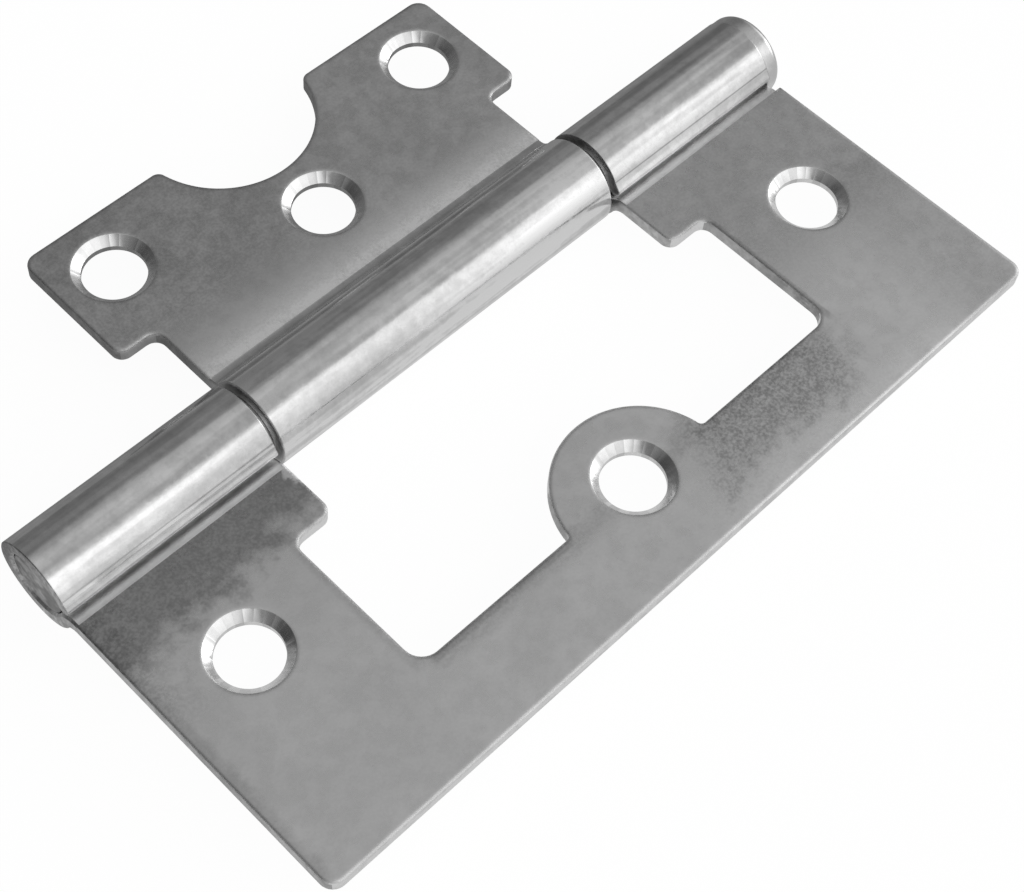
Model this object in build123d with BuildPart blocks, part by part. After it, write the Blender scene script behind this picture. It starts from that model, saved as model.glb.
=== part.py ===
from build123d import *
import os
from math import acos, degrees, sqrt

os.makedirs("parts", exist_ok=True)

# A flush hinge of folded sheet steel, laid open flat. The pin's axis is X, through the origin.
# The outer leaf reaches towards -Y and the inner leaf towards +Y. The screws go in from +Z.

# Sheet and pin
sheet = 1.2  # thickness of both leaves
pin_diameter = 5.2
pin_clearance = 0.06  # radial, between the pin and the rolled knuckles
leaf_drop = 0.3  # from the pin's axis to the middle of the sheet, so that the closed leaves share a plane
edge_break = 0.18  # soft edge that the press leaves round the upper faces

# Rolled knuckle
bend_radius = 1.0  # inside radius where the leaf passes from flat into the roll
seam_angle = 35.0  # above the leaf, where the sheet stops following the pin
lip_radius = 4.2  # the end of the roll springs back outwards by this radius
lip_turn = 14.0  # and through this many degrees

# Lengths along the pin
leaf_length = 76.2
window_width = 44.9
tab_step = 3.95  # how far the tabs that carry the end knuckles stand into the window's width
knuckle_gap = 0.6  # end play on each side of the centre knuckle
head_seat = 0.7  # how far the right knuckle stops short of the leaf's end, under the pin's head

# Outer leaf across the pin
outer_reach = 31.3  # from the pin's axis to the leaf's far edge
rail_width = 7.95  # sheet beyond the window
shoulder_reach = 9.9  # from the pin's axis to where the tabs end and the window widens
lobe_radius = 7.35  # round ear that carries the middle screw
lobe_sink = 0.9  # how far the ear's centre lies inside the rail

# Clearances of the inner leaf in the outer leaf's window
side_clearance = 0.95
edge_clearance = 0.35
shoulder_clearance = 1.05
lobe_clearance = 0.45

# Rounded corners, seen from above
leaf_corner = 1.2
window_corner = 1.6
shoulder_corner = 1.0
lobe_root = 0.4
notch_corner = 0.8

# Countersunk screw holes
hole_diameter = 5.25
countersink_diameter = 6.7
countersink_angle = 90.0
outer_end_hole_inset = 7.6  # from the outer leaf's ends
outer_end_hole_reach = 14.35  # from the pin's axis
lobe_hole_offset = 1.2  # from the lobe's centre towards the pin
inner_end_hole_inset = 5.0  # from the inner leaf's ends
inner_end_hole_margin = 5.2  # from the inner leaf's far edge
notch_hole_margin = 4.8  # from the notch to the middle hole

# Pin ends
head_diameter = 7.6
head_height = 1.8
head_round = 0.8  # rounded front edge of the head
tail_recess = 0.15  # how far the pin's tail sits inside the left knuckle
tail_chamfer = 0.35

# Worked out from the sizes above
half_length = leaf_length / 2
right_end = half_length - head_seat
tab_edge = window_width / 2 - tab_step
half_centre = tab_edge - knuckle_gap
bore_radius = pin_diameter / 2 + pin_clearance
roll_radius = bore_radius + sheet / 2  # to the middle of the sheet
dip_radius = bend_radius + sheet / 2
flat_edge = sqrt((roll_radius + dip_radius) ** 2 - (dip_radius + leaf_drop) ** 2)
dip_turn = degrees(acos((dip_radius + leaf_drop) / (dip_radius + roll_radius)))
roll_turn = 180 + dip_turn + 90 - seam_angle
outer_face = sheet / 2 - leaf_drop
inner_face = sheet / 2 + leaf_drop
window_reach = outer_reach - rail_width
lobe_reach = window_reach + lobe_sink
lobe_foot = sqrt(lobe_radius**2 - lobe_sink**2)
inner_half_width = window_width / 2 - side_clearance
inner_reach = window_reach - edge_clearance
inner_shoulder_reach = shoulder_reach + shoulder_clearance
notch_radius = lobe_radius + lobe_clearance
notch_mouth = sqrt(notch_radius**2 - (lobe_sink + edge_clearance) ** 2)
outer_end_hole = half_length - outer_end_hole_inset
lobe_hole_reach = lobe_reach - lobe_hole_offset
inner_end_hole = inner_half_width - inner_end_hole_inset
inner_end_hole_reach = inner_reach - inner_end_hole_margin
inner_middle_hole_reach = lobe_reach - notch_radius - notch_hole_margin

# Sections across the pin: the outer leaf's as it lies, the inner leaf's turned half round the pin.
outer_section = Plane(origin=(0, 0, 0), x_dir=(0, 1, 0), z_dir=(1, 0, 0))
inner_section = Plane(origin=(0, 0, 0), x_dir=(0, -1, 0), z_dir=(1, 0, 0))


def corners_at(sketch, points):
    """The sketch's corners that lie at the given points."""
    return [min(sketch.vertices(), key=lambda corner: abs(corner.center() - Vector(*point))) for point in points]


def both_sides(*points):
    """The points, and the same points with the other sign of X."""
    return [(side * x, y) for x, y in points for side in (-1, 1)]


def knuckle(section, start, end):
    """Rolls a knuckle from the leaf's flat, past the pin, round it and back towards the leaf."""
    with BuildSketch(section.offset(start)) as profile:
        with BuildLine():
            flat = Line((-flat_edge - sheet, -leaf_drop), (-flat_edge, -leaf_drop))
            dip = JernArc(start=flat @ 1, tangent=flat % 1, radius=dip_radius, arc_size=-dip_turn)
            roll = JernArc(start=dip @ 1, tangent=dip % 1, radius=roll_radius, arc_size=roll_turn)
            JernArc(start=roll @ 1, tangent=roll % 1, radius=lip_radius, arc_size=-lip_turn)
        trace(line_width=sheet)
    extrude(profile.sketch, amount=end - start)


def break_upper_edges(leaf):
    """Breaks the cut edges of the leaf's upper face. The break runs on along the knuckles' ends."""
    upper = leaf.faces().filter_by(Axis.Z).sort_by(Axis.Z)[-1]
    cut = [edge for edge in upper.edges() if abs(edge.center().Y) > flat_edge + edge_break]
    chamfer(cut, edge_break)


# Outline of the window, up to the pin's axis
with BuildSketch() as window:
    with Locations((0, -(window_reach + shoulder_reach) / 2)):
        Rectangle(window_width, window_reach - shoulder_reach)
    with Locations((0, -shoulder_reach / 2)):
        Rectangle(2 * tab_edge, shoulder_reach)
    with Locations((0, -lobe_reach)):
        Circle(lobe_radius, mode=Mode.SUBTRACT)
    fillet(corners_at(window, both_sides((lobe_foot, -window_reach))), lobe_root)
    fillet(corners_at(window, both_sides((window_width / 2, -window_reach))), window_corner)
    shoulder = both_sides((window_width / 2, -shoulder_reach), (tab_edge, -shoulder_reach))
    fillet(corners_at(window, shoulder), shoulder_corner)

# Outer leaf: a plate with a window, and two knuckles on its tabs
with BuildPart() as outer_leaf:
    with BuildSketch(Plane.XY.offset(outer_face - sheet)) as outer_plan:
        with Locations((0, -(outer_reach + flat_edge) / 2)):
            Rectangle(leaf_length, outer_reach - flat_edge)
        fillet(corners_at(outer_plan, both_sides((half_length, -outer_reach))), leaf_corner)
        add(window.sketch, mode=Mode.SUBTRACT)
    extrude(amount=sheet)
    knuckle(outer_section, -half_length, -tab_edge)
    knuckle(outer_section, tab_edge, right_end)
    break_upper_edges(outer_leaf)
    with Locations(Plane.XY.offset(outer_face)):
        with Locations(
            (-outer_end_hole, -outer_end_hole_reach),
            (outer_end_hole, -outer_end_hole_reach),
            (0, -lobe_hole_reach),
        ):
            CounterSinkHole(hole_diameter / 2, countersink_diameter / 2, counter_sink_angle=countersink_angle)

outer_leaf.part.label = "outer_leaf"
export_step(outer_leaf.part, "parts/outer_leaf.step")

# Inner leaf: cut from the window, so it follows the window's outline and the lobe
with BuildPart() as inner_leaf:
    with BuildSketch(Plane.XY.offset(inner_face - sheet)) as inner_plan:
        with Locations((0, (inner_shoulder_reach + inner_reach) / 2)):
            Rectangle(2 * inner_half_width, inner_reach - inner_shoulder_reach)
        with Locations((0, (flat_edge + inner_shoulder_reach) / 2)):
            Rectangle(2 * half_centre, inner_shoulder_reach - flat_edge)
        with Locations((0, lobe_reach)):
            Circle(notch_radius, mode=Mode.SUBTRACT)
        fillet(corners_at(inner_plan, both_sides((notch_mouth, inner_reach))), notch_corner)
        fillet(corners_at(inner_plan, both_sides((inner_half_width, inner_reach))), leaf_corner)
        inner_shoulder = both_sides((inner_half_width, inner_shoulder_reach), (half_centre, inner_shoulder_reach))
        fillet(corners_at(inner_plan, inner_shoulder), shoulder_corner)
    extrude(amount=sheet)
    knuckle(inner_section, -half_centre, half_centre)
    break_upper_edges(inner_leaf)
    with Locations(Plane.XY.offset(inner_face)):
        with Locations(
            (-inner_end_hole, inner_end_hole_reach),
            (inner_end_hole, inner_end_hole_reach),
            (0, inner_middle_hole_reach),
        ):
            CounterSinkHole(hole_diameter / 2, countersink_diameter / 2, counter_sink_angle=countersink_angle)

inner_leaf.part.label = "inner_leaf"
export_step(inner_leaf.part, "parts/inner_leaf.step")

# Pin: a shank with a round head, driven in from the right
with BuildPart() as hinge_pin:
    with BuildSketch(Plane.XZ):
        with BuildLine():
            Polyline(
                (right_end + head_height, 0),
                (-half_length + tail_recess, 0),
                (-half_length + tail_recess, pin_diameter / 2 - tail_chamfer),
                (-half_length + tail_recess + tail_chamfer, pin_diameter / 2),
                (right_end, pin_diameter / 2),
                (right_end, head_diameter / 2),
                (right_end + head_height, head_diameter / 2),
                close=True,
            )
        make_face()
    revolve(axis=Axis.X)
    fillet(hinge_pin.edges().group_by(Axis.X)[-1], head_round)

hinge_pin.part.label = "hinge_pin"
export_step(hinge_pin.part, "parts/hinge_pin.step")
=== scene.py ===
"""Looks of the flush hinge: two folded leaves and their pin, in zinc-plated steel."""

import logging
import math
from dataclasses import dataclass, field
from enum import Enum
from typing import Callable, Sequence

import bpy
from mathutils import Matrix, Vector

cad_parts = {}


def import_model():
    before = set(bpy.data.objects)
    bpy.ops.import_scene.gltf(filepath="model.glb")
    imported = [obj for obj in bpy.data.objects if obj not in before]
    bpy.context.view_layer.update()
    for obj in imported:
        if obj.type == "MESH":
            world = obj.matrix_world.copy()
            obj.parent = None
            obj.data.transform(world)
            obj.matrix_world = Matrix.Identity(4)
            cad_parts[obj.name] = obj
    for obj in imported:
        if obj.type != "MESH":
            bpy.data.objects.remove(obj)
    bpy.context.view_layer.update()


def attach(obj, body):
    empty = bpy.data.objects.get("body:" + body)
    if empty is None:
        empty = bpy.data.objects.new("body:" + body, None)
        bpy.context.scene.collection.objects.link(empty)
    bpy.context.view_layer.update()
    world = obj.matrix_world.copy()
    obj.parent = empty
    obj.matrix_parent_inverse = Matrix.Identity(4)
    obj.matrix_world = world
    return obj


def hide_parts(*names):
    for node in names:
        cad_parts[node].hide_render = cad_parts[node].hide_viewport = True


MM = 0.001
MICRO = 1e-6
LOG = logging.getLogger("hinge")

Pair = tuple[float, float]
Test = Callable[[Vector, Vector], bool]
Object = bpy.types.Object
Socket = bpy.types.NodeSocket
Sockets = bpy.types.bpy_prop_collection


class Side(Enum):
    """Which way a leaf reaches from the pin, as the sign of Y."""

    OUTER = -1
    INNER = 1


class Surface(Enum):
    """The kinds of surface on a piece."""

    FACE = "face"
    ROLL = "roll"
    SIDE_CUT = "side cuts"
    END_CUT = "end cuts"
    COUNTERSINK = "countersinks"
    DIP = "dip"


class Bench:
    """Modelling moves that the pieces share. Sizes are in millimetres, and angles in degrees."""

    GAP_SPAN = (-4.0, 4.0)
    BLOCK_SPAN = (-5.0, 5.0)
    BAR_SPAN = (-6.0, 6.0)
    OVERLAP = 1.0
    BEYOND = 5.0
    CLOSE = 0.01
    LEAST_HEIGHT = 0.1
    MERGE = 0.002
    BLUNT = 35.0
    CREASE = 40.0
    SHARP = 60.0
    FACING = 0.9
    SQUARE = 0.99
    FLATNESS = 60
    CORNER_STEPS = 8
    CORNER_SIDES = 48

    @staticmethod
    def at(place: float, *values: float) -> bool:
        """Tells whether all the values lie at a place."""
        return all(abs(value - place) < Bench.CLOSE for value in values)

    @staticmethod
    def hold(piece: Object) -> None:
        """Makes the piece the only selected and active object.

        Args:
            piece: the object to work on.
        """
        if bpy.context.object and bpy.context.object.mode != "OBJECT":
            bpy.ops.object.mode_set(mode="OBJECT")
        bpy.ops.object.select_all(action="DESELECT")
        piece.select_set(True)
        bpy.context.view_layer.objects.active = piece

    @staticmethod
    def settle(piece: Object) -> Object:
        """Puts the object's place, turn and size into its mesh.

        Args:
            piece: the object just added.

        Returns:
            The same object, at the origin.
        """
        Bench.hold(piece)
        bpy.ops.object.transform_apply(location=True, rotation=True, scale=True)
        return piece

    @staticmethod
    def block(low: Pair, high: Pair, span: Pair = BLOCK_SPAN) -> Object:
        """Adds a block over a rectangle of the plan.

        Args:
            low: the lower X and Y.
            high: the higher X and Y.
            span: Z of the foot and of the top.

        Returns:
            The block.
        """
        bpy.ops.object.select_all(action="DESELECT")
        sides = list(zip((*low, span[0]), (*high, span[1])))
        centre = [(a + b) / 2 * MM for a, b in sides]
        size = [(b - a) * MM for a, b in sides]
        bpy.ops.mesh.primitive_cube_add(size=1, location=centre, scale=size)
        return Bench.settle(bpy.context.object)

    @staticmethod
    def round_bar(place: Pair, radius: float, sides: int, span: Pair = BAR_SPAN) -> Object:
        """Adds an upright cylinder.

        Args:
            place: X and Y of its axis.
            radius: its radius.
            sides: faces round it.
            span: Z of the foot and of the top.

        Returns:
            The bar.
        """
        bpy.ops.object.select_all(action="DESELECT")
        bpy.ops.mesh.primitive_cone_add(
            vertices=sides,
            radius1=radius * MM,
            radius2=radius * MM,
            depth=(span[1] - span[0]) * MM,
            location=(place[0] * MM, place[1] * MM, (span[0] + span[1]) / 2 * MM),
        )
        return Bench.settle(bpy.context.object)

    @staticmethod
    def cut(piece: Object, tool: Object) -> None:
        """Cuts the tool out of the piece, and removes the tool.

        Args:
            piece: what is cut.
            tool: what is taken away.
        """
        Bench.hold(piece)
        step = piece.modifiers.new("cut", "BOOLEAN")
        step.operation = "DIFFERENCE"
        step.solver = "EXACT"
        step.object = tool
        bpy.ops.object.modifier_apply(modifier=step.name)
        bpy.data.objects.remove(tool, do_unlink=True)

    @staticmethod
    def round_edges(
        piece: Object, test: Test, width: float, steps: int, least: float = 0.0, clamp: bool = False
    ) -> int:
        """Rounds the edges that pass the test.

        Args:
            piece: the object to edit.
            test: takes an edge's two ends, in millimetres.
            width: the rounding's width.
            steps: faces across it.
            least: the least angle between an edge's two faces.
            clamp: whether it stops where roundings would meet.

        Returns:
            How many edges were rounded.
        """
        Bench.hold(piece)
        mesh = piece.data
        normals: dict[int, list[Vector]] = {}
        for face in mesh.polygons:
            for loop in face.loop_indices:
                normals.setdefault(mesh.loops[loop].edge_index, []).append(face.normal)
        for group in (mesh.vertices, mesh.edges, mesh.polygons):
            for element in group:
                element.select = False
        found = 0
        for edge in mesh.edges:
            sides = normals.get(edge.index, [])
            if len(sides) != 2 or math.degrees(sides[0].angle(sides[1], 0)) < least:
                continue
            ends = [mesh.vertices[index].co / MM for index in edge.vertices]
            if test(*ends):
                edge.select = True
                found += 1
        bpy.context.tool_settings.mesh_select_mode = (False, True, False)
        bpy.ops.object.mode_set(mode="EDIT")
        bpy.ops.mesh.bevel(offset=width * MM, segments=steps, affect="EDGES", clamp_overlap=clamp)
        Bench.close()
        LOG.info("%s: %d edges rounded by %.2f mm", piece.name, found, width)
        return found

    @staticmethod
    def open_faces(piece: Object, test: Test) -> None:
        """Opens the piece for editing with the faces that pass the test selected.

        Args:
            piece: the object to edit.
            test: takes a face's centre, in millimetres, and its normal.
        """
        Bench.hold(piece)
        mesh = piece.data
        for group in (mesh.vertices, mesh.edges):
            for element in group:
                element.select = False
        for face in mesh.polygons:
            face.select = test(face.center / MM, face.normal)
        bpy.context.tool_settings.mesh_select_mode = (False, False, True)
        bpy.ops.object.mode_set(mode="EDIT")

    @staticmethod
    def close() -> None:
        """Leaves edit mode."""
        bpy.ops.object.mode_set(mode="OBJECT")

    @staticmethod
    def grow(push: Sequence[float], scale: Sequence[float]) -> None:
        """Extrudes the selected faces by a push in metres, then scales them along X, Y and Z."""
        bpy.ops.mesh.extrude_region_move(TRANSFORM_OT_translate={"value": push})
        bpy.ops.transform.resize(value=scale)

    @staticmethod
    def round_uprights(piece: Object, x: float, y: float, radius: float) -> None:
        """Rounds the two upright edges that stand at plus and minus X.

        Args:
            piece: the object to edit.
            x: how far to each side they stand.
            y: their Y.
            radius: the corners' radius.
        """
        places = (Vector((-x, y)), Vector((x, y)))

        def stands_there(a: Vector, b: Vector) -> bool:
            """Tells whether an edge is upright and stands at one of the places."""
            upright = (a - b).xy.length < Bench.CLOSE / 10 and abs(a.z - b.z) > Bench.LEAST_HEIGHT
            return upright and any((a.xy - place).length < 2 * Bench.CLOSE for place in places)

        found = Bench.round_edges(piece, stands_there, radius, Bench.CORNER_STEPS)
        if found != len(places):
            LOG.warning("%s: %d corners found of %d", piece.name, found, len(places))

    @staticmethod
    def corner_tool(centre: Pair, radius: float, xs: Pair, ys: Pair) -> Object:
        """Makes a tool that rounds a corner where a straight edge meets an arc.

        Args:
            centre: X and Y of the rounding's centre.
            radius: the rounding's radius.
            xs: X of the two sides of the block that holds the corner, in any order.
            ys: Y of its two ends, the lower first.

        Returns:
            The block without the disc that stays.
        """
        tool = Bench.block((min(xs), ys[0]), (max(xs), ys[1]))
        Bench.cut(tool, Bench.round_bar(centre, radius, Bench.CORNER_SIDES))
        return tool

    @staticmethod
    def finish(piece: Object, name: str) -> Object:
        """Merges doubles, faces everything outwards and shades the piece.

        Args:
            piece: the finished shape.
            name: the name it gets.

        Returns:
            The same object.
        """
        Bench.hold(piece)
        bpy.ops.object.mode_set(mode="EDIT")
        bpy.ops.mesh.select_all(action="SELECT")
        bpy.ops.mesh.remove_doubles(threshold=Bench.MERGE * MM)
        bpy.ops.mesh.normals_make_consistent(inside=False)
        Bench.close()
        bpy.ops.object.shade_smooth_by_angle(angle=math.radians(Bench.CREASE))
        lean = piece.modifiers.new("flat faces first", "WEIGHTED_NORMAL")
        lean.keep_sharp = True
        lean.weight = Bench.FLATNESS
        bpy.ops.object.modifier_apply(modifier=lean.name)
        piece.name = name
        piece.data.name = name
        return piece


class Wiring:
    """Adds nodes to a tree and joins them."""

    def __init__(self, tree: bpy.types.NodeTree) -> None:
        """Keeps the tree that nodes are added to."""
        self.tree = tree

    def node(self, kind: str, **values: object) -> bpy.types.Node:
        """Adds a node.

        Args:
            kind: the node's type.
            values: its properties; a name that is a socket's sets that socket.

        Returns:
            The node.
        """
        made = self.tree.nodes.new(kind)
        for key, value in values.items():
            label = key.replace("_", " ")
            if hasattr(made, key):
                setattr(made, key, value)
            elif isinstance(value, Socket):
                self.tree.links.new(value, made.inputs[label])
            else:
                made.inputs[label].default_value = value
        return made

    def join(self, source: Socket, target: Socket) -> None:
        """Joins two sockets."""
        self.tree.links.new(source, target)

    def math(self, operation: str, *terms: object) -> Socket:
        """Adds a Math node.

        Args:
            operation: its operation.
            terms: numbers or sockets, in order.

        Returns:
            Its output.
        """
        made = self.tree.nodes.new("ShaderNodeMath")
        made.operation = operation
        for index, term in enumerate(terms):
            if isinstance(term, Socket):
                self.join(term, made.inputs[index])
            else:
                made.inputs[index].default_value = term
        return made.outputs[0]

    def axes(self, kind: str = "Object") -> Sockets:
        """Gives X, Y and Z of the place.

        Args:
            kind: which coordinates.

        Returns:
            The three outputs.
        """
        made = self.node("ShaderNodeSeparateXYZ")
        self.join(self.node("ShaderNodeTexCoord").outputs[kind], made.inputs[0])
        return made.outputs

    def ramp(self, value: Socket, stops: Sequence[Pair]) -> Socket:
        """Gives a tone for a value, eased between stops.

        Args:
            value: where on the ramp, from 0 to 1.
            stops: places and tones, in order.

        Returns:
            The tone.
        """
        made = self.node("ShaderNodeValToRGB")
        self.join(value, made.inputs[0])
        band = made.color_ramp
        band.interpolation = "EASE"
        while len(band.elements) < len(stops):
            band.elements.new(0.5)
        for element, (place, tone) in zip(band.elements, stops):
            element.position = place
            element.color = (tone, tone, tone, 1)
        return made.outputs[0]

    def spread(self, value: Socket, low: float, high: float, to: Pair = (0, 1)) -> Socket:
        """Maps a range to another with soft ends.

        Args:
            value: what is mapped.
            low: start of the range.
            high: end of the range.
            to: what the start and the end become.

        Returns:
            The mapped value.
        """
        made = self.tree.nodes.new("ShaderNodeMapRange")
        made.interpolation_type = "SMOOTHSTEP"
        self.join(value, made.inputs["Value"])
        for label, number in (("From Min", low), ("From Max", high), ("To Min", to[0]), ("To Max", to[1])):
            made.inputs[label].default_value = number
        return made.outputs[0]


@dataclass(frozen=True)
class Pattern:
    """A noise of the plating: features per metre, octaves, and which of its values become 0 and 1."""

    scale: float
    detail: float
    low: float
    high: float
    stretch: tuple[float, float, float] = (1, 1, 1)
    roughness: float = 0.6

    def mask(self, wires: Wiring, place: Socket) -> Socket:
        """Adds the noise.

        Args:
            wires: the tree to add to.
            place: the coordinates.

        Returns:
            The noise, from 0 to 1.
        """
        moved = wires.node("ShaderNodeMapping", Vector=place, Scale=Vector(self.stretch))
        sizes = {"Scale": self.scale, "Detail": self.detail, "Roughness": self.roughness}
        made = wires.node("ShaderNodeTexNoise", Vector=moved.outputs[0], **sizes)
        return wires.spread(made.outputs[0], self.low, self.high)


class Plating:
    """The zinc plating's patterns, made once as a node group and used by every finish."""

    NAME = "zinc plating"
    PATTERNS = {
        "Clouds": Pattern(130, 3, 0.35, 0.65),
        "Mottle": Pattern(700, 4, 0.35, 0.65),
        "Grit": Pattern(1500, 4, 0.22, 0.78),
        "Speckle": Pattern(4200, 2, 0.3, 0.7),
        "Lines": Pattern(800, 2, 0.3, 0.7, (0.04, 1, 1)),
    }
    CHATTER = 25

    @classmethod
    def group(cls) -> bpy.types.NodeTree:
        """Gives the group, and makes it the first time.

        Returns:
            The group: masks from 0 to 1 for the patterns of the plating and of the cutter.
        """
        if cls.NAME in bpy.data.node_groups:
            return bpy.data.node_groups[cls.NAME]
        tree = bpy.data.node_groups.new(cls.NAME, "ShaderNodeTree")
        wires = Wiring(tree)
        place = wires.node("ShaderNodeTexCoord").outputs["Object"]
        out = wires.node("NodeGroupOutput")
        masks = {label: pattern.mask(wires, place) for label, pattern in cls.PATTERNS.items()}
        around = wires.node("ShaderNodeAttribute", attribute_name=ScrewHoles.TURN).outputs["Fac"]
        turn = wires.math("MULTIPLY", around, cls.CHATTER)
        facet = wires.node("ShaderNodeTexWhiteNoise", noise_dimensions="1D")
        wires.join(wires.math("FLOOR", turn), facet.inputs["W"])
        bow = wires.math("MULTIPLY_ADD", wires.math("FRACT", turn), 2.0, -1.0)
        masks["Facets"] = facet.outputs["Value"]
        masks["Scallops"] = wires.math("MULTIPLY", bow, bow)
        for label, socket in masks.items():
            tree.interface.new_socket(name=label, in_out="OUTPUT", socket_type="NodeSocketFloat")
            wires.join(socket, out.inputs[label])
        return tree


@dataclass(frozen=True)
class PlatingAndLightPatch:
    """A patch of lighter or darker tone, as a box with soft sides. Sizes are in millimetres.

    Most patches are painted light and shade; a few are the plating's own tone. An upright patch is bounded
    in height instead of in Y.
    """

    x: Pair
    y: Pair
    x_fade: float
    y_fade: float
    change: float
    ragged: float = 0.0
    grit: float = 0.0
    upright: bool = False

    def mask(self, wires: Wiring, axes: Sequence[Socket], fray: Socket, grain: Socket) -> Socket:
        """Adds the patch.

        Args:
            wires: the tree to add to.
            axes: X, Y and Z on the piece.
            fray: noise that frays the patch's sides.
            grain: noise inside the patch.

        Returns:
            What the tone is multiplied by.
        """
        inside: list[Socket] = []
        second = axes[2 if self.upright else 1]
        for axis, (low, high), fade in ((axes[0], self.x, self.x_fade), (second, self.y, self.y_fade)):
            place = wires.math("MULTIPLY_ADD", fray, self.ragged * MM, axis)
            inside.append(wires.spread(place, (low - fade) * MM, (low + fade) * MM))
            inside.append(wires.spread(place, (high - fade) * MM, (high + fade) * MM, (1, 0)))
        mask = inside[0]
        for part in inside[1:]:
            mask = wires.math("MULTIPLY", mask, part)
        change: object = self.change
        if self.grit:
            change = wires.spread(grain, 0, 1, (self.change - self.grit, self.change + self.grit))
        return wires.math("MULTIPLY_ADD", mask, change, 1.0)


@dataclass(frozen=True)
class Finish:
    """Zinc-plated steel: its tone, its polish, its grain, and its patches of tone, which are mostly painted
    light and shade.

    Depths are shares of the tone, and heights are in micrometres, both by the plating's patterns. The rolled
    edge is in millimetres. The dip lets a leaf's face fall towards its knuckle.
    """

    name: str
    tone: float = 0.85
    roughness: float = 0.3
    depths: dict[str, float] = field(default_factory=dict)
    heights: dict[str, float] = field(default_factory=dict)
    edge_roll: float = 0.0
    plating_and_light_patches: tuple[PlatingAndLightPatch, ...] = ()
    dip_side: int = 0
    dip_slope: float = 0.0
    dip_reach: float = 9.0
    lightest: float = 0.97
    polish_spread: float = 0.03
    speckle_depth: float = 0.015
    speckle_height: float = 0.5
    edge_samples: int = 6

    def material(self) -> bpy.types.Material:
        """Makes the material.

        Returns:
            The material.
        """
        made = bpy.data.materials.new(self.name)
        made.use_nodes = True
        wires = Wiring(made.node_tree)
        shader = made.node_tree.nodes["Principled BSDF"]
        group = wires.node("ShaderNodeGroup")
        group.node_tree = Plating.group()
        masks = group.outputs
        axes = wires.axes()
        colour = wires.node("ShaderNodeCombineColor")
        tone = self.shade(wires, axes, masks)
        for channel in range(3):
            wires.join(tone, colour.inputs[channel])
        wires.join(colour.outputs[0], shader.inputs["Base Color"])
        shader.inputs["Metallic"].default_value = 1.0
        polish = (self.roughness - self.polish_spread, self.roughness + self.polish_spread)
        wires.join(wires.spread(masks["Mottle"], 0, 1, polish), shader.inputs["Roughness"])
        wires.join(self.relief(wires, axes["Y"], masks), shader.inputs["Normal"])
        return made

    def shade(self, wires: Wiring, axes: Sequence[Socket], masks: Sockets) -> Socket:
        """Adds the tone with its patterns and patches.

        Args:
            wires: the tree to add to.
            axes: X, Y and Z on the piece.
            masks: the plating's masks.

        Returns:
            The tone.
        """
        tone: object = self.tone
        for label, depth in {"Speckle": self.speckle_depth, **self.depths}.items():
            tone = wires.math("MULTIPLY", tone, wires.spread(masks[label], 0, 1, (1 - depth, 1 + depth)))
        fray = wires.math("SUBTRACT", wires.math("ADD", masks["Clouds"], masks["Mottle"]), 1.0)
        grain = wires.math("MULTIPLY_ADD", masks["Speckle"], 0.5, wires.math("MULTIPLY", masks["Grit"], 0.5))
        # Each patch multiplies the tone; most are painted light and shade, a few the plating's own tone.
        for patch in self.plating_and_light_patches:
            tone = wires.math("MULTIPLY", tone, patch.mask(wires, axes, fray, grain))
        return wires.math("MINIMUM", tone, self.lightest)

    def relief(self, wires: Wiring, across: Socket, masks: Sockets) -> Socket:
        """Adds the grain, the drawn lines, the chatter and the leaf's dip beside its knuckle.

        Args:
            wires: the tree to add to.
            across: Y on the piece.
            masks: the plating's masks.

        Returns:
            The normal.
        """
        height: object = 0.0
        for label, depth in {"Speckle": self.speckle_height, **self.heights}.items():
            height = wires.math("MULTIPLY_ADD", masks[label], depth * MICRO, height)
        if self.dip_side:
            reach = self.dip_reach * MM
            away = wires.math("MULTIPLY", across, self.dip_side)
            near = wires.math("MAXIMUM", wires.math("SUBTRACT", reach, away), 0.0)
            fall = wires.math("MULTIPLY", wires.math("MULTIPLY", near, near), -self.dip_slope / reach)
            height = wires.math("ADD", height, fall)
        bump = wires.node("ShaderNodeBump", Strength=1.0, Distance=1.0)
        wires.join(height, bump.inputs["Height"])
        if self.edge_roll:
            rounded = wires.node("ShaderNodeBevel", samples=self.edge_samples, Radius=self.edge_roll * MM)
            wires.join(rounded.outputs[0], bump.inputs["Normal"])
        return bump.outputs[0]


class Piece:
    """What every piece of the hinge can do: be modelled, tell its surfaces apart, and be dressed."""

    def build(self) -> Object:
        """Models the piece."""
        raise NotImplementedError

    def kind(self, centre: Vector, normal: Vector) -> Surface:
        """Tells what kind of surface a face belongs to."""
        raise NotImplementedError

    def finishes(self) -> dict[Surface, Finish]:
        """Gives the finish of each kind of surface that the piece has."""
        raise NotImplementedError

    def dress(self, piece: Object, body: str, node: str) -> None:
        """Gives the piece its finishes, lets it ride on its body and stand for its node.

        Args:
            piece: the finished shape.
            body: the body that it moves with.
            node: the node that it stands for.
        """
        finishes = self.finishes()
        piece.data.materials.clear()
        for finish in finishes.values():
            piece.data.materials.append(finish.material())
        kinds = list(finishes)
        for face in piece.data.polygons:
            face.material_index = kinds.index(self.kind(face.center / MM, face.normal))
        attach(piece, body)
        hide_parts(node)
        LOG.info("%s: %d faces, rides on %s", piece.name, len(piece.data.polygons), body)


@dataclass(frozen=True)
class Seam:
    """Where a roll ends. Angles are in degrees, and the rounding of the sheet's end in millimetres."""

    angle: float
    lip_turn: float
    rounding: float = 0.35


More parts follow.
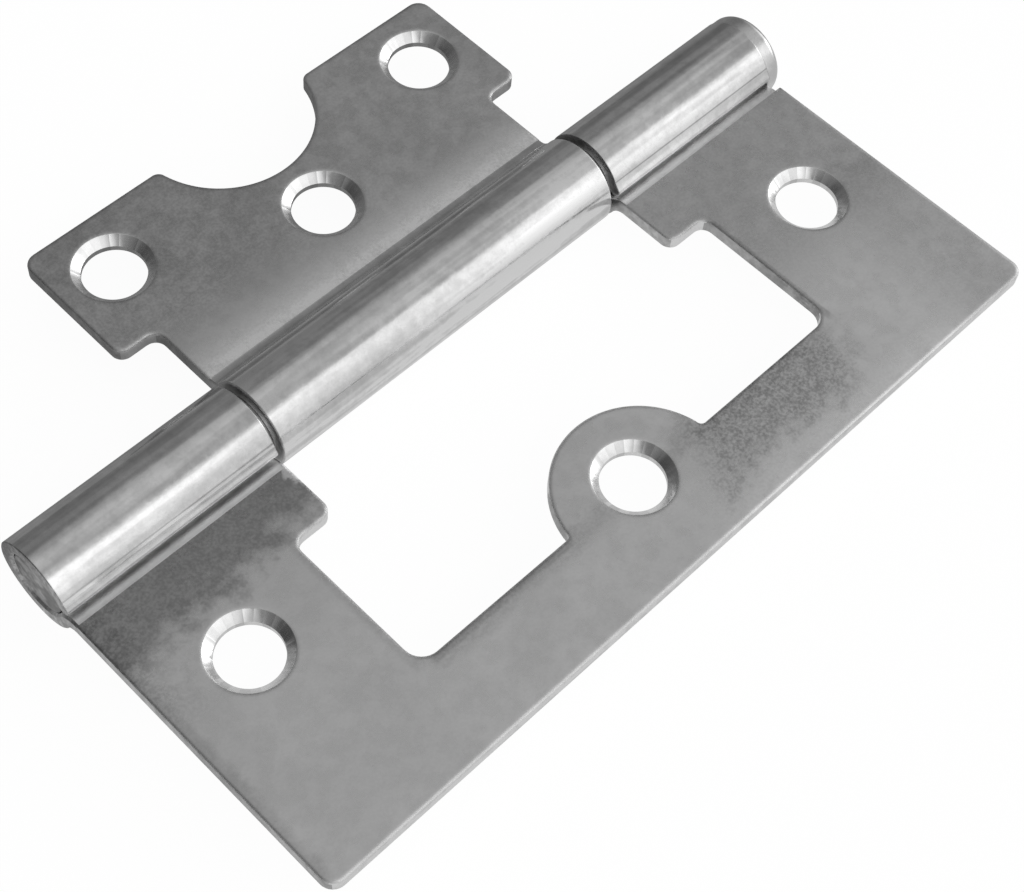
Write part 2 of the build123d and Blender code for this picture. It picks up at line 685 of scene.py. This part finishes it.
@dataclass(frozen=True)
class Knuckle:
    """Section of the sheet where a leaf rolls round the pin. Sizes are in millimetres."""

    sheet: float = 1.2
    bore_radius: float = 2.66
    bend_radius: float = 1.4
    leaf_drop: float = 0.3
    lip_radius: float = 4.2
    dip_steps: int = 12
    roll_steps: int = 110
    lip_steps: int = 4
    end_steps: int = 5

    @property
    def roll_radius(self) -> float:
        """Radius to the middle of the sheet."""
        return self.bore_radius + self.sheet / 2

    @property
    def dip_radius(self) -> float:
        """Radius of the dip to the middle of the sheet."""
        return self.bend_radius + self.sheet / 2

    @property
    def flat_edge(self) -> float:
        """Distance from the pin's axis to where the leaf stops being flat."""
        reach = self.roll_radius + self.dip_radius
        return math.sqrt(reach**2 - (self.dip_radius + self.leaf_drop) ** 2)

    @property
    def dip_turn(self) -> float:
        """Degrees that the leaf dips before it meets the pin."""
        reach = self.dip_radius + self.roll_radius
        return math.degrees(math.acos((self.dip_radius + self.leaf_drop) / reach))

    def roll(self, leaf: Object, side: Side, span: Pair, seam: Seam) -> None:
        """Spins the leaf's end face between two places round the pin.

        Args:
            leaf: the flat leaf.
            side: which way the leaf reaches.
            span: X of the knuckle's two ends.
            seam: where the roll ends.
        """
        edge = side.value * self.flat_edge

        def is_end(centre: Vector, normal: Vector) -> bool:
            """Tells whether a face is the leaf's end face at this knuckle."""
            square = abs(normal.y) > Bench.SQUARE
            return Bench.at(edge, centre.y) and square and span[0] < centre.x < span[1]

        Bench.open_faces(leaf, is_end)
        drop = self.leaf_drop + self.dip_radius
        end = math.radians(180 - seam.angle)
        lip = side.value * (self.roll_radius + self.lip_radius)
        turns = (
            ((edge, side.value * drop), self.dip_turn, self.dip_steps),
            ((0.0, 0.0), seam.angle - self.dip_turn - 270, self.roll_steps),
            ((-lip * math.cos(end), -lip * math.sin(end)), seam.lip_turn, self.lip_steps),
        )
        for (y, z), angle, steps in turns:
            centre = (0, y * MM, z * MM)
            bpy.ops.mesh.spin(steps=steps, angle=math.radians(angle), center=centre, axis=(1, 0, 0))
        self.round_end(side, seam)
        Bench.close()

    def round_end(self, side: Side, seam: Seam) -> None:
        """Rounds the sheet's end, which is selected.

        Args:
            side: which way the leaf reaches.
            seam: where the roll ends.
        """
        way = math.radians(seam.angle + seam.lip_turn)
        ahead = Vector((0, side.value * math.sin(way), side.value * math.cos(way)))
        thickness = self.sheet
        moved = 0.0
        for step in range(1, self.end_steps + 1):
            turn = step / self.end_steps * math.pi / 2
            along = seam.rounding * math.sin(turn)
            left = self.sheet - 2 * seam.rounding * (1 - math.cos(turn))
            Bench.grow(ahead * (along - moved) * MM, (1, left / thickness, left / thickness))
            thickness = left
            moved = along


@dataclass(frozen=True)
class ScrewHoles:
    """Countersunk holes of one leaf. Sizes are in millimetres."""

    TURN = "turn"
    SLACK = 0.05

    places: tuple[Pair, ...]
    radius: float = 2.625
    mouth_radius: float = 3.35
    above: float = 1.2
    below: float = 3.0
    sides: int = 96

    def drill(self, leaf: Object, face: float) -> None:
        """Drills and countersinks the holes from above.

        Args:
            leaf: the leaf.
            face: height of its upper face.
        """
        foot = face - (self.mouth_radius - self.radius)
        grown = (self.mouth_radius + self.above) / self.radius
        for place in self.places:
            bit = Bench.round_bar(place, self.radius, self.sides, (face - self.below, foot))
            Bench.open_faces(bit, lambda centre, normal: normal.z > Bench.FACING)
            Bench.grow((0, 0, (face + self.above - foot) * MM), (grown, grown, 1))
            Bench.close()
            Bench.cut(leaf, bit)

    def mark_turns(self, leaf: Object) -> None:
        """Stores the turn round the nearest hole on the mesh, where the cutter's chatter reads it.

        Args:
            leaf: the finished leaf.
        """
        mesh = leaf.data
        turns = mesh.attributes.new(self.TURN, "FLOAT", "CORNER")
        for face in mesh.polygons:
            centre = face.center.xy / MM
            place = min((Vector(spot) for spot in self.places), key=lambda spot: (centre - spot).length)
            middle = math.atan2(*(centre - place).yx)
            for loop in face.loop_indices:
                corner = mesh.vertices[mesh.loops[loop].vertex_index].co.xy / MM
                step = (math.atan2(*(corner - place).yx) - middle + math.pi) % math.tau - math.pi
                turns.data[loop].value = (middle + step) / math.tau

    def nearest(self, place: Vector) -> float:
        """Gives the distance on plan from a place to the nearest hole's axis."""
        return min((place.xy - Vector(spot)).length for spot in self.places)

    def is_rim(self, place: Vector) -> bool:
        """Tells whether a place lies on a hole's rim or inside it."""
        return self.nearest(place) < self.mouth_radius + self.SLACK


@dataclass
class Leaf(Piece):
    """What both leaves share: the sheet, its knuckle and its finishes.

    Each tilt is the part of a face's normal along one axis that tells one surface from the next.
    """

    CONE_SLACK = 0.03
    CONE_TILT = 0.9
    ROLLED_END_TILT = 0.35
    FLAT_END_TILT = 0.75
    DIP_TILT = 0.3
    FACE_TILT = 0.5

    holes: ScrewHoles
    side: Side
    face_finish: Finish
    roll_tone: float
    label: str
    knuckle: Knuckle = Knuckle()
    upper_break: float = 0.2
    lower_break: float = 0.06
    mouth_break: float = 0.05
    roll_break: float = 0.09
    soft_steps: int = 3
    break_steps: int = 2
    groove_reach: float = 2.6

    @property
    def face(self) -> float:
        """Height of the upper face."""
        return self.knuckle.sheet / 2 + self.side.value * self.knuckle.leaf_drop

    def kind(self, centre: Vector, normal: Vector) -> Surface:
        """Tells what kind of surface a face belongs to.

        Args:
            centre: the face's centre, in millimetres.
            normal: its normal.

        Returns:
            The kind.
        """
        in_hole = self.holes.nearest(centre) < self.holes.mouth_radius + self.CONE_SLACK
        if in_hole and abs(normal.z) < self.CONE_TILT:
            return Surface.COUNTERSINK
        rolled = abs(centre.y) < self.knuckle.flat_edge
        if abs(normal.x) > (self.ROLLED_END_TILT if rolled else self.FLAT_END_TILT):
            return Surface.END_CUT
        if rolled:
            faces_up = centre.z < self.face and normal.z > self.DIP_TILT
            return Surface.DIP if faces_up and abs(centre.y) > self.groove_reach else Surface.ROLL
        return Surface.FACE if abs(normal.z) > self.FACE_TILT else Surface.SIDE_CUT

    def soften(self, leaf: Object) -> None:
        """Rounds the cut edges: widely above, where the press drew them in, and hardly below.

        Args:
            leaf: the flat leaf, before its knuckles are rolled.
        """
        end = self.side.value * self.knuckle.flat_edge
        foot = self.face - self.knuckle.sheet
        for height, width in ((self.face, self.upper_break), (foot, self.lower_break)):

            def stands_proud(a: Vector, b: Vector, level: float = height) -> bool:
                """Tells whether an edge is cut, lies at this level and isn't a hole's."""
                is_cut = not Bench.at(end, a.y, b.y) and not self.holes.is_rim(a)
                return is_cut and Bench.at(level, a.z, b.z)

            Bench.round_edges(leaf, stands_proud, width, self.soft_steps, Bench.SHARP)

    def break_ends(self, leaf: Object) -> None:
        """Takes the sharpness off the countersinks' mouths and off what the roll left square.

        Args:
            leaf: the rolled leaf.
        """
        reach = self.knuckle.flat_edge - 2 * Bench.CLOSE

        def is_mouth(a: Vector, b: Vector) -> bool:
            """Tells whether an edge is the mouth of a countersink."""
            return self.holes.is_rim(a) and Bench.at(self.face, a.z, b.z)

        def on_roll(a: Vector, b: Vector) -> bool:
            """Tells whether an edge lies on the rolled part."""
            return abs(a.y) < reach and abs(b.y) < reach

        Bench.round_edges(leaf, is_mouth, self.mouth_break, self.break_steps, Bench.BLUNT, clamp=True)
        Bench.round_edges(leaf, on_roll, self.roll_break, self.break_steps, Bench.SHARP, clamp=True)

    def painted_crease_lines(self) -> tuple[PlatingAndLightPatch, ...]:
        """Gives painted shade and highlight lines along the creases that the rolling left on the knuckles.
        """
        return ()

    def finishes(self) -> dict[Surface, Finish]:
        """Gives the finish of each kind of surface.

        Returns:
            The finishes.
        """
        names = {surface: f"{self.label} {surface.value}" for surface in Surface}
        roll = Finish(
            names[Surface.ROLL],
            self.roll_tone,
            0.14,
            {"Clouds": 0.04, "Mottle": 0.05, "Grit": 0.05, "Lines": 0.18},
            {"Lines": 5.0, "Mottle": 2.2, "Grit": 1.2},
            edge_roll=0.2,
            # The roll's patches are painted shade and highlight lines along its creases.
            plating_and_light_patches=self.painted_crease_lines(),
        )
        # Cut faces along Y are painted lighter and cut faces along X darker: painted light and shade by the
        # way they face.
        side_depths = {"Mottle": 0.08, "Grit": 0.06, "Lines": 0.08}
        sides = Finish(names[Surface.SIDE_CUT], 0.92, 0.34, side_depths, {"Grit": 2.0})
        ends = Finish(
            names[Surface.END_CUT],
            0.56,
            0.4,
            {"Clouds": 0.1, "Mottle": 0.12, "Grit": 0.12},
            {"Grit": 2.0},
            plating_and_light_patches=(
                # Painted shade on the window's right wall and the left knuckle's end, which face away from
                # the light, mottled by grit.
                PlatingAndLightPatch((22, 23), (-24, -9), 0.3, 0.5, -0.1),
                PlatingAndLightPatch((22, 23), (-24, -18.5), 0.3, 3.5, -0.3, 1.0, 0.1),
                PlatingAndLightPatch((-45, -37.8), (-5, 5), 0.05, 0.3, -0.12, 0.0, 0.25),
            ),
        )
        cone_depths = {"Mottle": 0.05, "Facets": 0.12}
        cones = Finish(names[Surface.COUNTERSINK], 0.82, 0.22, cone_depths, {"Scallops": 11.0, "Grit": 0.8})
        # The dip is painted lighter: a painted reflection of the lit knuckle in the bend.
        dip_depths = {"Mottle": 0.05, "Lines": 0.08}
        dip = Finish(names[Surface.DIP], 0.95, 0.42, dip_depths, {"Lines": 1.5, "Grit": 0.6})
        return dict(zip(Surface, (self.face_finish, roll, sides, ends, cones, dip)))


@dataclass
class OuterLeaf(Leaf):
    """The leaf with the window, the lobe and the two end knuckles. Sizes are in millimetres."""

    holes: ScrewHoles = ScrewHoles(((-30.5, -14.35), (30.5, -14.35), (0, -23.05)))
    side: Side = Side.OUTER
    face_finish: Finish = Finish(
        "outer leaf face",
        0.80,
        0.3,
        {"Clouds": 0.03, "Mottle": 0.03},
        edge_roll=0.5,
        plating_and_light_patches=(
            # The next three patches are painted shade: the face darkens beside the knuckles, as a painted
            # dark reflection.
            PlatingAndLightPatch((-45, -18), (-9.4, 0), 0.5, 2.2, -0.52, 2.0, 0.08),
            PlatingAndLightPatch((-45, -35.5), (-15, 0), 1.5, 3.0, -0.14, 1.6, 0.1),
            PlatingAndLightPatch((17, 45), (-18, 0), 2.0, 3.5, -0.22, 1.5, 0.04),
            PlatingAndLightPatch((5, 20), (-28.8, -22.5), 2.5, 1.4, -0.3, 1.6, 0.2),
            PlatingAndLightPatch((31, 45), (-40, -14), 3.0, 2.0, -0.14, 1.0, 0.03),
            PlatingAndLightPatch((5, 30), (-40, -29.3), 4.0, 1.2, 0.12, 1.0, 0.03),
            # Painted shade in narrow bands beside the window's edges and the left edge, where the face rolls
            # off to the cut.
            PlatingAndLightPatch((-21.5, 21.5), (-24.6, -23), 1.0, 0.5, -0.14, 0.5, 0.05),
            PlatingAndLightPatch((-21.6, -7.5), (-24.0, -23), 0.5, 0.16, -0.24, 0.1, 0.04),
            PlatingAndLightPatch((-45, -37.3), (-30.5, -8.5), 0.45, 0.8, -0.18, 0.2, 0.03),
            PlatingAndLightPatch((-23.1, -22), (-23.5, -9.5), 0.25, 0.6, -0.11, 0.1, 0.03),
            PlatingAndLightPatch((22.2, 22.8), (-23.5, -10.5), 0.12, 0.5, -0.24, 0.05, 0.05),
            # Painted highlight along the right edge.
            PlatingAndLightPatch((37.8, 45), (-30.5, -6), 0.1, 0.5, 0.16, 0.05, 0.03),
        ),
    )
    roll_tone: float = 0.77
    label: str = "outer leaf"
    length: float = 76.2
    reach: float = 31.3
    corner: float = 1.2
    window_half: float = 22.45
    window_reach: float = 23.35
    window_corner: float = 1.6
    tab_edge: float = 18.5
    shoulder_reach: float = 9.9
    shoulder_corner: float = 1.0
    lobe_reach: float = 24.25
    lobe_radius: float = 7.35
    lobe_root: float = 0.4
    lobe_sides: int = 160
    head_seat: float = 0.7
    left_seam: Seam = Seam(26.0, 10.5)
    right_seam: Seam = Seam(30.0, 13.0)

    def window_tool(self) -> Object:
        """Makes the tool that cuts the window round the lobe.

        Returns:
            A tall block with the window's outline.
        """
        half = self.window_half
        tool = Bench.block((-half, -self.window_reach), (half, -self.shoulder_reach))
        Bench.round_uprights(tool, half, -self.window_reach, self.window_corner)
        Bench.round_uprights(tool, half, -self.shoulder_reach, self.shoulder_corner)
        Bench.cut(tool, Bench.round_bar((0, -self.lobe_reach), self.lobe_radius, self.lobe_sides))
        root = self.lobe_root
        span = self.lobe_radius + root
        y = -self.window_reach + root
        x = math.sqrt(span**2 - (self.lobe_reach + y) ** 2)
        top = -self.lobe_reach + (self.lobe_reach + y) * self.lobe_radius / span
        for side in (-1, 1):
            xs = (side * x, side * (x - 3 * root))
            Bench.cut(tool, Bench.corner_tool((side * x, y), root, xs, (y - 2 * root, top)))
        return tool

    def build(self) -> Object:
        """Cuts, rounds, drills and rolls the leaf.

        Returns:
            The finished leaf.
        """
        half = self.length / 2
        right = half - self.head_seat
        end = -self.knuckle.flat_edge
        leaf = Bench.block((-half, -self.reach), (half, end), (self.face - self.knuckle.sheet, self.face))
        Bench.round_uprights(leaf, half, -self.reach, self.corner)
        Bench.cut(leaf, self.window_tool())
        gap = (-self.tab_edge, -self.shoulder_reach - Bench.OVERLAP), (self.tab_edge, 0)
        Bench.cut(leaf, Bench.block(*gap, Bench.GAP_SPAN))
        Bench.round_uprights(leaf, self.tab_edge, -self.shoulder_reach, self.shoulder_corner)
        self.holes.drill(leaf, self.face)
        Bench.open_faces(leaf, lambda centre, normal: Bench.at(end, centre.y) and centre.x > 0)
        bpy.ops.mesh.bisect(plane_co=(right * MM, 0, 0), plane_no=(1, 0, 0))
        Bench.close()
        self.soften(leaf)
        self.knuckle.roll(leaf, self.side, (-half, -self.tab_edge), self.left_seam)
        self.knuckle.roll(leaf, self.side, (self.tab_edge, right), self.right_seam)
        self.break_ends(leaf)
        Bench.finish(leaf, "outer_leaf_steel")
        self.holes.mark_turns(leaf)
        return leaf

    def painted_crease_lines(self) -> tuple[PlatingAndLightPatch, ...]:
        """Gives painted shade and highlight lines along the creases that the rolling left on the knuckles.

        Returns:
            A painted shade line on each, and a painted highlight on the left one's lip.
        """
        return (
            PlatingAndLightPatch((-45, -18), (1.86, 1.95), 0.2, 0.04, -0.3, upright=True),
            PlatingAndLightPatch((-45, -18), (1.62, 1.80), 0.2, 0.05, 0.35, upright=True),
            PlatingAndLightPatch((18, 45), (1.9, 2.0), 0.2, 0.04, -0.4, upright=True),
        )


@dataclass
class InnerLeaf(Leaf):
    """The T-shaped leaf with the notch and the centre knuckle. Sizes are in millimetres."""

    holes: ScrewHoles = ScrewHoles(((-16.5, 17.8), (16.5, 17.8), (0, 11.65)))
    side: Side = Side.INNER
    face_finish: Finish = Finish(
        "inner leaf face",
        0.66,
        0.3,
        {"Clouds": 0.05, "Mottle": 0.05},
        edge_roll=0.5,
        plating_and_light_patches=(
            # Painted sheen: lighter bands beside the knuckle, where the face bends down towards the dip.
            PlatingAndLightPatch((-45, 45), (0, 7.0), 1.0, 1.5, 0.24, 0.8, 0.05),
            PlatingAndLightPatch((-45, 45), (0, 5.8), 1.0, 0.5, 0.13, 0.3, 0.05),
            PlatingAndLightPatch((-45, -2), (10, 40), 6.0, 2.0, -0.14, 1.0, 0.1),
            PlatingAndLightPatch((-2, 45), (8, 40), 6.0, 2.0, 0.0, 1.0, 0.05),
        ),
        dip_side=1,
        dip_slope=0.12,
    )
    # The inner roll is painted lighter than the outer one, so that its highlight shows brighter.
    roll_tone: float = 0.88
    label: str = "inner leaf"
    half_width: float = 21.5
    reach: float = 23.0
    corner: float = 1.2
    neck_half: float = 17.9
    shoulder_reach: float = 10.95
    shoulder_corner: float = 1.0
    notch_reach: float = 24.25
    notch_radius: float = 7.8
    notch_corner: float = 0.8
    notch_sides: int = 160
    seam: Seam = Seam(28.0, 12.0)

    def cut_notch(self, leaf: Object) -> None:
        """Cuts the notch that clears the lobe, with rounded ends.

        Args:
            leaf: the flat leaf.
        """
        corner = self.notch_corner
        Bench.cut(leaf, Bench.round_bar((0, self.notch_reach), self.notch_radius, self.notch_sides))
        span = self.notch_radius + corner
        y = self.reach - corner
        x = math.sqrt(span**2 - (self.notch_reach - y) ** 2)
        low = self.notch_reach - (self.notch_reach - y) * self.notch_radius / span
        for side in (-1, 1):
            xs = (side * x, side * (x - 2 * corner))
            ys = (low, self.reach + Bench.OVERLAP)
            Bench.cut(leaf, Bench.corner_tool((side * x, y), corner, xs, ys))

    def build(self) -> Object:
        """Cuts, rounds, drills and rolls the leaf.

        Returns:
            The finished leaf.
        """
        half = self.half_width
        end = self.knuckle.flat_edge
        leaf = Bench.block((-half, end), (half, self.reach), (self.face - self.knuckle.sheet, self.face))
        for side in (-1, 1):
            xs = sorted((side * self.neck_half, side * (half + Bench.BEYOND)))
            gap = (xs[0], end - Bench.BEYOND), (xs[1], self.shoulder_reach)
            Bench.cut(leaf, Bench.block(*gap, Bench.GAP_SPAN))
        Bench.round_uprights(leaf, half, self.reach, self.corner)
        Bench.round_uprights(leaf, half, self.shoulder_reach, self.shoulder_corner)
        Bench.round_uprights(leaf, self.neck_half, self.shoulder_reach, self.shoulder_corner)
        self.cut_notch(leaf)
        self.holes.drill(leaf, self.face)
        self.soften(leaf)
        self.knuckle.roll(leaf, self.side, (-self.neck_half, self.neck_half), self.seam)
        self.break_ends(leaf)
        Bench.finish(leaf, "inner_leaf_steel")
        self.holes.mark_turns(leaf)
        return leaf


@dataclass
class HingePin(Piece):
    """The pin with its round head. Sizes are in millimetres."""

    TAIL_TILT = 0.3
    TAIL_DEPTH = 1.0

    radius: float = 2.6
    tail: float = -37.95
    tail_chamfer: float = 0.15
    seat: float = 37.4
    head_radius: float = 3.8
    head_height: float = 1.8
    head_round: float = 0.8
    edge_break: float = 0.08
    head_steps: int = 8
    edge_steps: int = 3
    sides: int = 96

    def build(self) -> Object:
        """Turns the pin and shapes its two ends.

        Returns:
            The finished pin.
        """
        bpy.ops.object.select_all(action="DESELECT")
        bpy.ops.mesh.primitive_cylinder_add(
            vertices=self.sides,
            radius=self.radius * MM,
            depth=(self.seat - self.tail) * MM,
            location=((self.seat + self.tail) / 2 * MM, 0, 0),
            rotation=(0, math.pi / 2, 0),
        )
        pin = Bench.settle(bpy.context.object)
        wider = self.head_radius / self.radius
        Bench.open_faces(pin, lambda centre, normal: normal.x > Bench.FACING)
        Bench.grow((0, 0, 0), (1, wider, wider))
        Bench.grow((self.head_height * MM, 0, 0), (1, 1, 1))
        Bench.close()
        tail = (self.tail, self.tail_chamfer, self.edge_steps)
        head = (self.seat + self.head_height, self.head_round, self.head_steps)
        for place, width, steps in (tail, head):
            Bench.round_edges(pin, lambda a, b: Bench.at(place, a.x, b.x), width, steps, Bench.SHARP)

        def on_head(a: Vector, b: Vector) -> bool:
            """Tells whether an edge lies on the head's greatest radius."""
            return min(a.yz.length, b.yz.length) > self.head_radius - 2 * Bench.CLOSE

        Bench.round_edges(pin, on_head, self.edge_break, self.edge_steps, Bench.SHARP)
        return Bench.finish(pin, "pin_steel")

    def kind(self, centre: Vector, normal: Vector) -> Surface:
        """Tells the cut tail from the turned faces."""
        at_tail = normal.x < -self.TAIL_TILT and centre.x < self.tail + self.TAIL_DEPTH
        return Surface.END_CUT if at_tail else Surface.FACE

    def finishes(self) -> dict[Surface, Finish]:
        """Gives the finishes of the turned faces and of the tail.

        Returns:
            The finish of each kind of surface.
        """
        turned = Finish("pin turned", 0.80, 0.24, {"Clouds": 0.05, "Mottle": 0.08}, {"Mottle": 3.0})
        tail = Finish("pin tail", 0.40, 0.42, {"Clouds": 0.2, "Mottle": 0.35, "Grit": 0.2}, {"Mottle": 12.0})
        return {Surface.FACE: turned, Surface.END_CUT: tail}


@dataclass(frozen=True)
class Camera:
    """The photograph's camera. Angles are in degrees and lengths in millimetres."""

    azimuth: float = -50.951
    elevation: float = 57.586
    roll: float = 7.051
    distance: float = 151.541
    lens: float = 70.397
    sensor: float = 36.0
    target: Pair = (-4.720, -14.760)
    nearest: float = 5.0
    farthest: float = 20000.0

    def place(self) -> None:
        """Puts the camera up and makes it the scene's."""
        azimuth, elevation, roll = map(math.radians, (self.azimuth, self.elevation, self.roll))
        level = math.cos(elevation)
        back = Vector((math.sin(azimuth) * level, -math.cos(azimuth) * level, math.sin(elevation)))
        right = Vector((math.cos(azimuth), math.sin(azimuth), 0))
        up = back.cross(right)
        across = right * math.cos(roll) + up * math.sin(roll)
        over = up * math.cos(roll) - right * math.sin(roll)
        lens = bpy.data.cameras.new("camera")
        lens.lens = self.lens
        lens.sensor_width = self.sensor
        lens.clip_start = self.nearest * MM
        lens.clip_end = self.farthest * MM
        camera = bpy.data.objects.new("camera", lens)
        bpy.context.scene.collection.objects.link(camera)
        turn = Matrix((across, over, back)).transposed()
        eye = Vector((*self.target, 0)) * MM + back * self.distance * MM
        camera.matrix_world = Matrix.Translation(eye) @ turn.to_4x4()
        bpy.context.scene.camera = camera


@dataclass(frozen=True)
class Studio:
    """A white floor under a grey tent, with one long light on the outer leaf's side.

    The tent's tones follow the angle round the pin's axis, in degrees from straight up, with minus on the
    outer leaf's side. The brightest tone is the long light's. The tent's fades are parts of X, and the
    floor's is along Y. Lengths are in millimetres.
    """

    brightest: float = 1.15
    tones: tuple[Pair, ...] = (
        (-110, 0.50),
        (-84, 0.62),
        (-70, 0.76),
        (-60, 0.86),
        (-52, 0.96),
        (-38, 0.96),
        (-26, 0.42),
        (4, 0.40),
        (24, 0.33),
        (40, 0.17),
        (80, 0.14),
    )
    left_shade: float = 0.4
    left_fade: Pair = (-0.8, -0.1)
    right_glow: float = 2.6
    right_fade: Pair = (0.72, 0.92)
    floor_size: float = 6000.0
    floor_height: float = -3.86
    floor_fade: Pair = (-2.0, 9.0)
    near_floor: float = 0.58
    far_floor: float = 0.18
    floor_light: float = 1.06
    floor_share: float = 0.9
    floor_paint: float = 0.85

    def light(self) -> None:
        """Sets the world, and shows colours as they are."""
        bpy.context.scene.view_settings.view_transform = "Standard"
        world = bpy.data.worlds.new("studio")
        world.use_nodes = True
        bpy.context.scene.world = world
        tree = world.node_tree
        tree.nodes.clear()
        wires = Wiring(tree)
        way = wires.axes("Generated")
        turn = wires.math("ARCTAN2", way["Y"], way["Z"])
        place = wires.math("MULTIPLY_ADD", turn, 0.5 / math.pi, 0.5)
        tone = wires.ramp(place, [(0.5 + angle / 360, value) for angle, value in self.tones])
        side = wires.spread(way["X"], *self.left_fade, (self.left_shade, 1))
        glow = wires.spread(way["X"], *self.right_fade, (1, self.right_glow))
        shaded = wires.math("MULTIPLY", tone, side)
        total = wires.math("MULTIPLY", shaded, wires.math("MULTIPLY", glow, self.brightest))
        inside = wires.node("ShaderNodeBackground", Color=(1, 1, 1, 1))
        wires.join(total, inside.inputs["Strength"])
        white = wires.node("ShaderNodeBackground", Color=(1, 1, 1, 1), Strength=1.0)
        mix = wires.node("ShaderNodeMixShader")
        wires.join(wires.node("ShaderNodeLightPath").outputs["Is Camera Ray"], mix.inputs[0])
        wires.join(inside.outputs[0], mix.inputs[1])
        wires.join(white.outputs[0], mix.inputs[2])
        wires.join(mix.outputs[0], wires.node("ShaderNodeOutputWorld").inputs["Surface"])

    def floor(self) -> None:
        """Lays the floor: white, and shaded beyond the pin where gloss shows it."""
        bpy.ops.object.select_all(action="DESELECT")
        bpy.ops.mesh.primitive_plane_add(size=self.floor_size * MM, location=(0, 0, self.floor_height * MM))
        floor = Bench.settle(bpy.context.object)
        floor.name = "floor"
        paint = bpy.data.materials.new("white floor")
        paint.use_nodes = True
        tree = paint.node_tree
        tree.nodes.clear()
        wires = Wiring(tree)
        near, far = (place * MM for place in self.floor_fade)
        shade = wires.spread(wires.axes()["Y"], near, far, (self.near_floor, self.far_floor))
        path = wires.node("ShaderNodeLightPath").outputs
        gloss = wires.math("MAXIMUM", path["Is Glossy Ray"], path["Is Transmission Ray"])
        strength = wires.math("ADD", wires.math("MULTIPLY", gloss, shade), path["Is Camera Ray"])
        seen = wires.math("MAXIMUM", path["Is Camera Ray"], gloss)
        matt = wires.node("ShaderNodeBsdfDiffuse", Color=(*[self.floor_paint] * 3, 1))
        white = wires.node("ShaderNodeEmission", Color=(1, 1, 1, 1))
        wires.join(wires.math("MULTIPLY", strength, self.floor_light), white.inputs["Strength"])
        mix = wires.node("ShaderNodeMixShader")
        wires.join(wires.math("MULTIPLY", seen, self.floor_share), mix.inputs[0])
        wires.join(matt.outputs[0], mix.inputs[1])
        wires.join(white.outputs[0], mix.inputs[2])
        wires.join(mix.outputs[0], wires.node("ShaderNodeOutputMaterial").inputs["Surface"])
        floor.data.materials.append(paint)


def main() -> None:
    """Builds the scene: camera, studio, then the three pieces."""
    logging.basicConfig(level=logging.INFO, format="%(message)s")
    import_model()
    Camera().place()
    studio = Studio()
    studio.light()
    studio.floor()
    for piece, body, node in (
        (OuterLeaf(), "outer", "outer_leaf"),
        (InnerLeaf(), "inner", "inner_leaf"),
        (HingePin(), "outer", "hinge_pin"),
    ):
        piece.dress(piece.build(), body, node)


if __name__ == "__main__":
    main()
